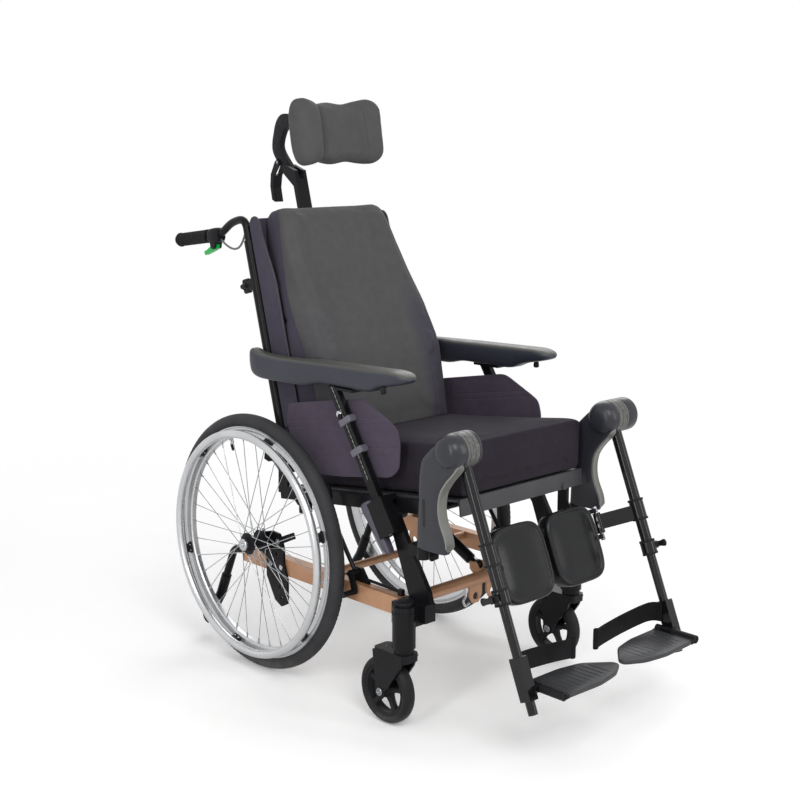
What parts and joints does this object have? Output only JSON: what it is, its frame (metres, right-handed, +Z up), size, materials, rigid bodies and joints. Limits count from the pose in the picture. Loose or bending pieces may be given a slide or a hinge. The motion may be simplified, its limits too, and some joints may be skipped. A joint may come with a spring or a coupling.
{
  "type": "tilt_in_space_wheelchair",
  "caption": "Tilt-in-space wheelchair with spoked rear wheels, reclining padded back, jointed headrest, height-adjustable arms and elevating swing-away legrests",
  "frame": {"origin": "On the floor, at the middle of the bounding box of the chair at rest.", "axes": "+Z up, -Y to the front, +X to the sitter's left."},
  "size_m": [0.64, 1.2866, 1.3397],
  "materials": {
    "bronze_paint": "satin bronze powder coat",
    "black_paint": "satin black powder coat",
    "chrome": "polished",
    "black_plastic": "fine grain",
    "tyre": "dull rubber with fine tread",
    "silver_alloy": "anodised",
    "castor_black": "smooth",
    "seat_fabric": "soft stretch weave, dark purple grey",
    "back_fabric": "fine spacer weave, neutral grey",
    "panel_fabric": "coated weave, dark purple grey",
    "strut_steel": "drawn",
    "armpad_foam": "integral skin foam",
    "green_plastic": "glossy",
    "strap_fabric": "woven webbing"
  },
  "bodies": {
    "chassis": {"side_rails": "bronze_paint", "crossbars": "bronze_paint", "front_struts": "black_paint", "castor_housings": "black_plastic", "rail_brackets": "black_paint", "chassis_hardware": "chrome"},
    "seat": {"seat_frame": "black_paint", "seat_pan": "black_plastic", "seat_cushion": "seat_fabric"},
    "tilt_cylinder": {"tilt_strut_cylinder": "black_paint"},
    "tilt_rod": {"tilt_strut_rod": "strut_steel"},
    "recline_cylinder": {"recline_strut_cylinder": "black_paint"},
    "recline_rod": {"recline_strut_rod": "strut_steel"},
    "back": {"back_frame": "black_paint", "back_upholstery": "panel_fabric", "back_cushion": "back_fabric"},
    "headrest_mast": {"headrest_bar": "black_paint"},
    "headrest_arm": {"headrest_arm": "black_plastic"},
    "headrest_lever": {"headrest_lever": "black_plastic"},
    "headrest": {"headrest_pad": "back_fabric"},
    "wheel_left": {"rear_tyre_left": "tyre", "rear_rim_left": "silver_alloy", "spoked_hub_left": "silver_alloy", "handrim_left": "silver_alloy"},
    "castor_swivel_left": {"castor_fork_left": "black_paint"},
    "castor_left": {"castor_wheel_left": "castor_black"},
    "anti_tipper_left": {"anti_tipper_left": "black_paint"},
    "wheel_lock_left": {"wheel_lock_left": "black_plastic"},
    "armrest_left": {"arm_post_left": "black_paint", "side_panel_left": "panel_fabric"},
    "armpad_left": {"armpad_left": "armpad_foam"},
    "hanger_left": {"hanger_left": "black_plastic"},
    "legrest_left": {"leg_tube_left": "black_paint"},
    "lower_leg_left": {"lower_leg_left": "black_paint", "heel_strap_left": "strap_fabric"},
    "footplate_left": {"footplate_left": "black_plastic"},
    "calf_pad_left": {"calf_pad_left": "armpad_foam"},
    "push_handle_left": {"push_handle_left": "black_paint"},
    "trigger_left": {"trigger_left": "green_plastic"},
    "handle_knob_left": {"handle_knob_left": "black_plastic"},
    "wheel_right": {"rear_tyre_right": "tyre", "rear_rim_right": "silver_alloy", "spoked_hub_right": "silver_alloy", "handrim_right": "silver_alloy"},
    "castor_swivel_right": {"castor_fork_right": "black_paint"},
    "castor_right": {"castor_wheel_right": "castor_black"},
    "anti_tipper_right": {"anti_tipper_right": "black_paint"},
    "wheel_lock_right": {"wheel_lock_right": "black_plastic"},
    "armrest_right": {"arm_post_right": "black_paint", "side_panel_right": "panel_fabric"},
    "armpad_right": {"armpad_right": "armpad_foam"},
    "hanger_right": {"hanger_right": "black_plastic"},
    "legrest_right": {"leg_tube_right": "black_paint"},
    "lower_leg_right": {"lower_leg_right": "black_paint", "heel_strap_right": "strap_fabric"},
    "footplate_right": {"footplate_right": "black_plastic"},
    "calf_pad_right": {"calf_pad_right": "armpad_foam"},
    "push_handle_right": {"push_handle_right": "black_paint"},
    "trigger_right": {"trigger_right": "green_plastic"},
    "handle_knob_right": {"handle_knob_right": "black_plastic"}
  },
  "joints": [
    {"name": "seat_tilt", "type": "hinge", "parent": "chassis", "child": "seat", "pos_m": [0, -0.15912, 0.45], "axis": [-1, 0, 0], "range_deg": [-7, 18]},
    {"name": "back_recline", "type": "hinge", "parent": "seat", "child": "back", "pos_m": [0, 0.22388, 0.48], "axis": [-1, 0, 0], "range_deg": [0, 30]},
    {"name": "tilt_cylinder_swing", "type": "hinge", "parent": "chassis", "child": "tilt_cylinder", "pos_m": [0, -0.19612, 0.292], "axis": [-1, 0, 0], "range_deg": [-7, 14]},
    {"name": "tilt_rod_stroke", "type": "slide", "parent": "tilt_cylinder", "child": "tilt_rod", "axis": [0, 0.8876, 0.4606], "range_m": [-0.05, 0.025]},
    {"name": "recline_cylinder_swing", "type": "hinge", "parent": "seat", "child": "recline_cylinder", "pos_m": [-0.15, 0.22388, 0.367], "axis": [-1, 0, 0], "range_deg": [-2, 20]},
    {"name": "recline_rod_stroke", "type": "slide", "parent": "recline_cylinder", "child": "recline_rod", "axis": [0, 0.7692, 0.639], "range_m": [-0.055, 0.003]},
    {"name": "headrest_height", "type": "slide", "parent": "back", "child": "headrest_mast", "axis": [0, 0.2487, 0.9686], "range_m": [-0.02, 0.06]},
    {"name": "headrest_arm_angle", "type": "hinge", "parent": "headrest_mast", "child": "headrest_arm", "pos_m": [0, 0.44456, 1.16256], "axis": [-1, 0, 0], "range_deg": [-10, 20]},
    {"name": "headrest_lever_turn", "type": "hinge", "parent": "headrest_arm", "child": "headrest_lever", "pos_m": [0, 0.48008, 1.18029], "axis": [1, 0, 0], "range_deg": [0, 40]},
    {"name": "headrest_pad_angle", "type": "hinge", "parent": "headrest_arm", "child": "headrest", "pos_m": [0, 0.35116, 1.27327], "axis": [-1, 0, 0], "range_deg": [-20, 20]},
    {"name": "wheel_spin_left", "type": "hinge", "parent": "chassis", "child": "wheel_left", "pos_m": [0.2748, 0.25588, 0.305], "axis": [-1, 0, 0], "continuous": true},
    {"name": "castor_swivel_left", "type": "hinge", "parent": "chassis", "child": "castor_swivel_left", "pos_m": [0.277, -0.24712, 0.2], "axis": [0, 0, 1], "continuous": true},
    {"name": "castor_spin_left", "type": "hinge", "parent": "castor_swivel_left", "child": "castor_left", "pos_m": [0.277, -0.19712, 0.075], "axis": [-1, 0, 0], "continuous": true},
    {"name": "anti_tipper_turn_left", "type": "hinge", "parent": "chassis", "child": "anti_tipper_left", "pos_m": [0.2345, 0.34288, 0.252], "axis": [0, 1, 0], "range_deg": [0, 90]},
    {"name": "wheel_lock_lever_left", "type": "hinge", "parent": "chassis", "child": "wheel_lock_left", "pos_m": [0.238, -0.05412, 0.294], "axis": [1, 0, 0], "range_deg": [0, 20]},
    {"name": "armrest_height_left", "type": "slide", "parent": "seat", "child": "armrest_left", "axis": [0, 0.527, 0.8499], "range_m": [-0.015, 0.04]},
    {"name": "armpad_depth_left", "type": "slide", "parent": "armrest_left", "child": "armpad_left", "axis": [0, 1, 0], "range_m": [-0.025, 0.025]},
    {"name": "hanger_swing_left", "type": "hinge", "parent": "seat", "child": "hanger_left", "pos_m": [0.217, -0.30212, 0.414], "axis": [0, 0, 1], "range_deg": [0, 75]},
    {"name": "leg_elevation_left", "type": "hinge", "parent": "hanger_left", "child": "legrest_left", "pos_m": [0.244, -0.37712, 0.627], "axis": [-1, 0, 0], "range_deg": [0, 65]},
    {"name": "leg_length_left", "type": "slide", "parent": "legrest_left", "child": "lower_leg_left", "axis": [0, -0.3746, -0.9272], "range_m": [-0.03, 0.06]},
    {"name": "footplate_flip_left", "type": "hinge", "parent": "lower_leg_left", "child": "footplate_left", "pos_m": [0.222, -0.56434, 0.176], "axis": [0, 1, 0], "range_deg": [0, 90]},
    {"name": "calf_pad_swing_left", "type": "hinge", "parent": "legrest_left", "child": "calf_pad_left", "pos_m": [0.183, -0.39724, 0.39569], "axis": [0, -0.3746, -0.9272], "range_deg": [0, 60]},
    {"name": "handle_height_left", "type": "slide", "parent": "back", "child": "push_handle_left", "axis": [0, 0.2487, 0.9686], "range_m": [0, 0.08]},
    {"name": "trigger_pull_left", "type": "hinge", "parent": "push_handle_left", "child": "trigger_left", "pos_m": [0.2, 0.48788, 0.983], "axis": [1, 0, 0], "range_deg": [0, 14], "stiffness_Nm_per_rad": 1.5, "springref_deg": -5.73},
    {"name": "handle_knob_turn_left", "type": "hinge", "parent": "back", "child": "handle_knob_left", "pos_m": [0.2, 0.35193, 0.8983], "axis": [0, 0.9686, -0.2487], "continuous": true},
    {"name": "wheel_spin_right", "type": "hinge", "parent": "chassis", "child": "wheel_right", "pos_m": [-0.2748, 0.25588, 0.305], "axis": [-1, 0, 0], "continuous": true},
    {"name": "castor_swivel_right", "type": "hinge", "parent": "chassis", "child": "castor_swivel_right", "pos_m": [-0.277, -0.24712, 0.2], "axis": [0, 0, 1], "continuous": true},
    {"name": "castor_spin_right", "type": "hinge", "parent": "castor_swivel_right", "child": "castor_right", "pos_m": [-0.277, -0.19712, 0.075], "axis": [-1, 0, 0], "continuous": true},
    {"name": "anti_tipper_turn_right", "type": "hinge", "parent": "chassis", "child": "anti_tipper_right", "pos_m": [-0.2345, 0.34288, 0.252], "axis": [0, -1, 0], "range_deg": [0, 90]},
    {"name": "wheel_lock_lever_right", "type": "hinge", "parent": "chassis", "child": "wheel_lock_right", "pos_m": [-0.238, -0.05412, 0.294], "axis": [1, 0, 0], "range_deg": [0, 20]},
    {"name": "armrest_height_right", "type": "slide", "parent": "seat", "child": "armrest_right", "axis": [0, 0.527, 0.8499], "range_m": [-0.015, 0.04]},
    {"name": "armpad_depth_right", "type": "slide", "parent": "armrest_right", "child": "armpad_right", "axis": [0, 1, 0], "range_m": [-0.025, 0.025]},
    {"name": "hanger_swing_right", "type": "hinge", "parent": "seat", "child": "hanger_right", "pos_m": [-0.275, -0.30212, 0.414], "axis": [0, 0, -1], "range_deg": [0, 75]},
    {"name": "leg_elevation_right", "type": "hinge", "parent": "hanger_right", "child": "legrest_right", "pos_m": [-0.244, -0.37712, 0.627], "axis": [-1, 0, 0], "range_deg": [0, 65]},
    {"name": "leg_length_right", "type": "slide", "parent": "legrest_right", "child": "lower_leg_right", "axis": [0, -0.3746, -0.9272], "range_m": [-0.03, 0.06]},
    {"name": "footplate_flip_right", "type": "hinge", "parent": "lower_leg_right", "child": "footplate_right", "pos_m": [-0.222, -0.56434, 0.176], "axis": [0, -1, 0], "range_deg": [0, 90]},
    {"name": "calf_pad_swing_right", "type": "hinge", "parent": "legrest_right", "child": "calf_pad_right", "pos_m": [-0.183, -0.39724, 0.39569], "axis": [0, 0.3746, 0.9272], "range_deg": [0, 60]},
    {"name": "handle_height_right", "type": "slide", "parent": "back", "child": "push_handle_right", "axis": [0, 0.2487, 0.9686], "range_m": [0, 0.08]},
    {"name": "trigger_pull_right", "type": "hinge", "parent": "push_handle_right", "child": "trigger_right", "pos_m": [-0.2, 0.48788, 0.983], "axis": [1, 0, 0], "range_deg": [0, 14], "stiffness_Nm_per_rad": 1.5, "springref_deg": -5.73},
    {"name": "handle_knob_turn_right", "type": "hinge", "parent": "back", "child": "handle_knob_right", "pos_m": [-0.2, 0.35193, 0.8983], "axis": [0, 0.9686, -0.2487], "continuous": true}
  ],
  "couplings": [
    {"joint": "tilt_cylinder_swing", "follows": "seat_tilt", "ratio": 0.6141},
    {"joint": "tilt_rod_stroke", "follows": "seat_tilt", "m_per_rad": -0.1291},
    {"joint": "recline_cylinder_swing", "follows": "back_recline", "ratio": 0.5935},
    {"joint": "recline_rod_stroke", "follows": "back_recline", "m_per_rad": -0.09519}
  ]
}
